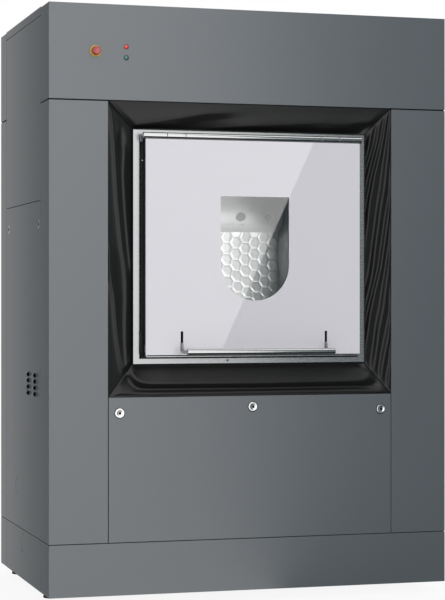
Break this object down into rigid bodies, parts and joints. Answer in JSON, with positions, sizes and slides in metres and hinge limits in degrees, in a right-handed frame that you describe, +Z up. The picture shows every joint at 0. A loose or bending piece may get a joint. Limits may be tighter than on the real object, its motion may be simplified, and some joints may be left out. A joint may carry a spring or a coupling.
{
  "type": "barrier washer",
  "caption": "Soft-mounted barrier washer-extractor with a top-hung glass door at each end, a turning side-loaded drum, bellows, service panels and emergency stops.",
  "frame": {"origin": "floor level, under the middle of the cabinet", "axes": "+Z up, -Y out of the front (soiled side) door, +X to the right seen from the front"},
  "size_m": [1.3, 1.051, 1.8555],
  "materials": {
    "anthracite_paint": "satin powder coat",
    "bellows_rubber": "soft satin",
    "collar_yellow": "satin",
    "button_red": "satin",
    "lamp_red": "clear lens",
    "lamp_green": "clear lens",
    "display_glass": "glossy",
    "polished_steel": "polished",
    "stainless": "brushed",
    "door_glass": "printed glass",
    "galvanised_steel": "zinc",
    "foot_rubber": "matt",
    "belt_rubber": "matt",
    "cast_iron": "painted",
    "valve_plastic": "matt",
    "strut_steel": "satin"
  },
  "bodies": {
    "cabinet": {"fascia_front": "anthracite_paint", "fascia_rear": "anthracite_paint", "plinth_front": "anthracite_paint", "plinth_rear": "anthracite_paint", "plinth_left": "anthracite_paint", "plinth_right": "anthracite_paint", "column_front_left": "anthracite_paint", "column_front_right": "anthracite_paint", "column_rear_left": "anthracite_paint", "column_rear_right": "anthracite_paint", "side_panel_left_upper": "anthracite_paint", "side_panel_left_lower": "anthracite_paint", "side_panel_right": "anthracite_paint", "top_cover": "anthracite_paint", "service_panel_front": "anthracite_paint", "service_panel_rear": "anthracite_paint", "bellows_front": "bellows_rubber", "bellows_rear": "bellows_rubber", "estop_collar_front": "collar_yellow", "estop_collar_rear": "collar_yellow", "lamp_red": "lamp_red", "lamp_green": "lamp_green", "touch_display": "display_glass", "base_frame": "galvanised_steel", "foot_front_left": "foot_rubber", "foot_front_right": "foot_rubber", "foot_rear_left": "foot_rubber", "foot_rear_right": "foot_rubber", "strut_front_left": "strut_steel", "strut_front_right": "strut_steel", "strut_rear_left": "strut_steel", "strut_rear_right": "strut_steel"},
    "tub": {"tub_shell": "stainless", "door_frame_front": "stainless", "door_frame_rear": "stainless", "hinge_pin_front": "polished_steel", "hinge_pin_rear": "polished_steel", "motor": "cast_iron", "drain_valve": "valve_plastic", "drive_belt": "belt_rubber"},
    "door_front": {"door_tray_front": "stainless", "door_glass_front": "door_glass"},
    "handle_front": {"door_handle_front": "polished_steel"},
    "door_rear": {"door_tray_rear": "stainless", "door_glass_rear": "door_glass"},
    "handle_rear": {"door_handle_rear": "polished_steel"},
    "drum": {"drum_shell": "stainless", "drum_pulley": "cast_iron"},
    "flap_upper": {"drum_flap_upper": "stainless"},
    "flap_lower": {"drum_flap_lower": "stainless"},
    "motor_rotor": {"motor_pulley": "cast_iron"},
    "estop_button_front": {"estop_button_front": "button_red"},
    "estop_button_rear": {"estop_button_rear": "button_red"},
    "lock_front_left": {"lock_front_left": "polished_steel"},
    "lock_front_right": {"lock_front_right": "polished_steel"},
    "lock_front_middle": {"lock_front_middle": "polished_steel"},
    "lock_rear_left": {"lock_rear_left": "polished_steel"},
    "lock_rear_right": {"lock_rear_right": "polished_steel"},
    "lock_side_front": {"lock_side_front": "polished_steel"},
    "lock_side_rear": {"lock_side_rear": "polished_steel"}
  },
  "joints": [
    {"name": "tub_bounce", "type": "slide", "parent": "cabinet", "child": "tub", "axis": [0, 0, 1], "range_m": [-0.012, 0.012], "stiffness_N_per_m": 240000, "springref_m": 0.01637, "deforming": ["strut_front_left", "strut_front_right", "strut_rear_left", "strut_rear_right", "bellows_front", "bellows_rear"]},
    {"name": "door_front_swing", "type": "hinge", "parent": "tub", "child": "door_front", "pos_m": [0, -0.4325, 1.45065], "axis": [-1, 0, 0], "range_deg": [0, 100]},
    {"name": "door_rear_swing", "type": "hinge", "parent": "tub", "child": "door_rear", "pos_m": [0, 0.4325, 1.45065], "axis": [1, 0, 0], "range_deg": [0, 100]},
    {"name": "handle_front_turn", "type": "hinge", "parent": "door_front", "child": "handle_front", "pos_m": [0, -0.4255, 0.79285], "axis": [-1, 0, 0], "range_deg": [0, 50]},
    {"name": "handle_rear_turn", "type": "hinge", "parent": "door_rear", "child": "handle_rear", "pos_m": [0, 0.4255, 0.79285], "axis": [1, 0, 0], "range_deg": [0, 50]},
    {"name": "drum_spin", "type": "hinge", "parent": "tub", "child": "drum", "pos_m": [0, 0, 1.1076], "axis": [1, 0, 0], "continuous": true},
    {"name": "motor_spin", "type": "hinge", "parent": "tub", "child": "motor_rotor", "pos_m": [0.473, 0, 0.59], "axis": [1, 0, 0], "continuous": true},
    {"name": "flap_upper_swing", "type": "hinge", "parent": "drum", "child": "flap_upper", "pos_m": [0, -0.24716, 1.32627], "axis": [-1, 0, 0], "range_deg": [0, 118]},
    {"name": "flap_lower_swing", "type": "hinge", "parent": "drum", "child": "flap_lower", "pos_m": [0, -0.24716, 0.88894], "axis": [1, 0, 0], "range_deg": [0, 118]},
    {"name": "estop_front_press", "type": "slide", "parent": "cabinet", "child": "estop_button_front", "axis": [0, 1, 0], "range_m": [0, 0.006], "stiffness_N_per_m": 600},
    {"name": "estop_rear_press", "type": "slide", "parent": "cabinet", "child": "estop_button_rear", "axis": [0, -1, 0], "range_m": [0, 0.006], "stiffness_N_per_m": 600},
    {"name": "lock_front_left_turn", "type": "hinge", "parent": "cabinet", "child": "lock_front_left", "pos_m": [-0.429, -0.4215, 0.595], "axis": [0, -1, 0], "range_deg": [0, 90]},
    {"name": "lock_front_right_turn", "type": "hinge", "parent": "cabinet", "child": "lock_front_right", "pos_m": [0.429, -0.4215, 0.595], "axis": [0, -1, 0], "range_deg": [0, 90]},
    {"name": "lock_front_middle_turn", "type": "hinge", "parent": "cabinet", "child": "lock_front_middle", "pos_m": [0, -0.4215, 0.609], "axis": [0, -1, 0], "range_deg": [0, 90]},
    {"name": "lock_rear_left_turn", "type": "hinge", "parent": "cabinet", "child": "lock_rear_left", "pos_m": [-0.429, 0.4215, 0.595], "axis": [0, 1, 0], "range_deg": [0, 90]},
    {"name": "lock_rear_right_turn", "type": "hinge", "parent": "cabinet", "child": "lock_rear_right", "pos_m": [0.429, 0.4215, 0.595], "axis": [0, 1, 0], "range_deg": [0, 90]},
    {"name": "lock_side_front_turn", "type": "hinge", "parent": "cabinet", "child": "lock_side_front", "pos_m": [-0.65, -0.2575, 1.181], "axis": [-1, 0, 0], "range_deg": [0, 90]},
    {"name": "lock_side_rear_turn", "type": "hinge", "parent": "cabinet", "child": "lock_side_rear", "pos_m": [-0.65, 0.2675, 1.181], "axis": [-1, 0, 0], "range_deg": [0, 90]}
  ],
  "couplings": [
    {"joint": "motor_spin", "follows": "drum_spin", "ratio": 4.5454}
  ]
}
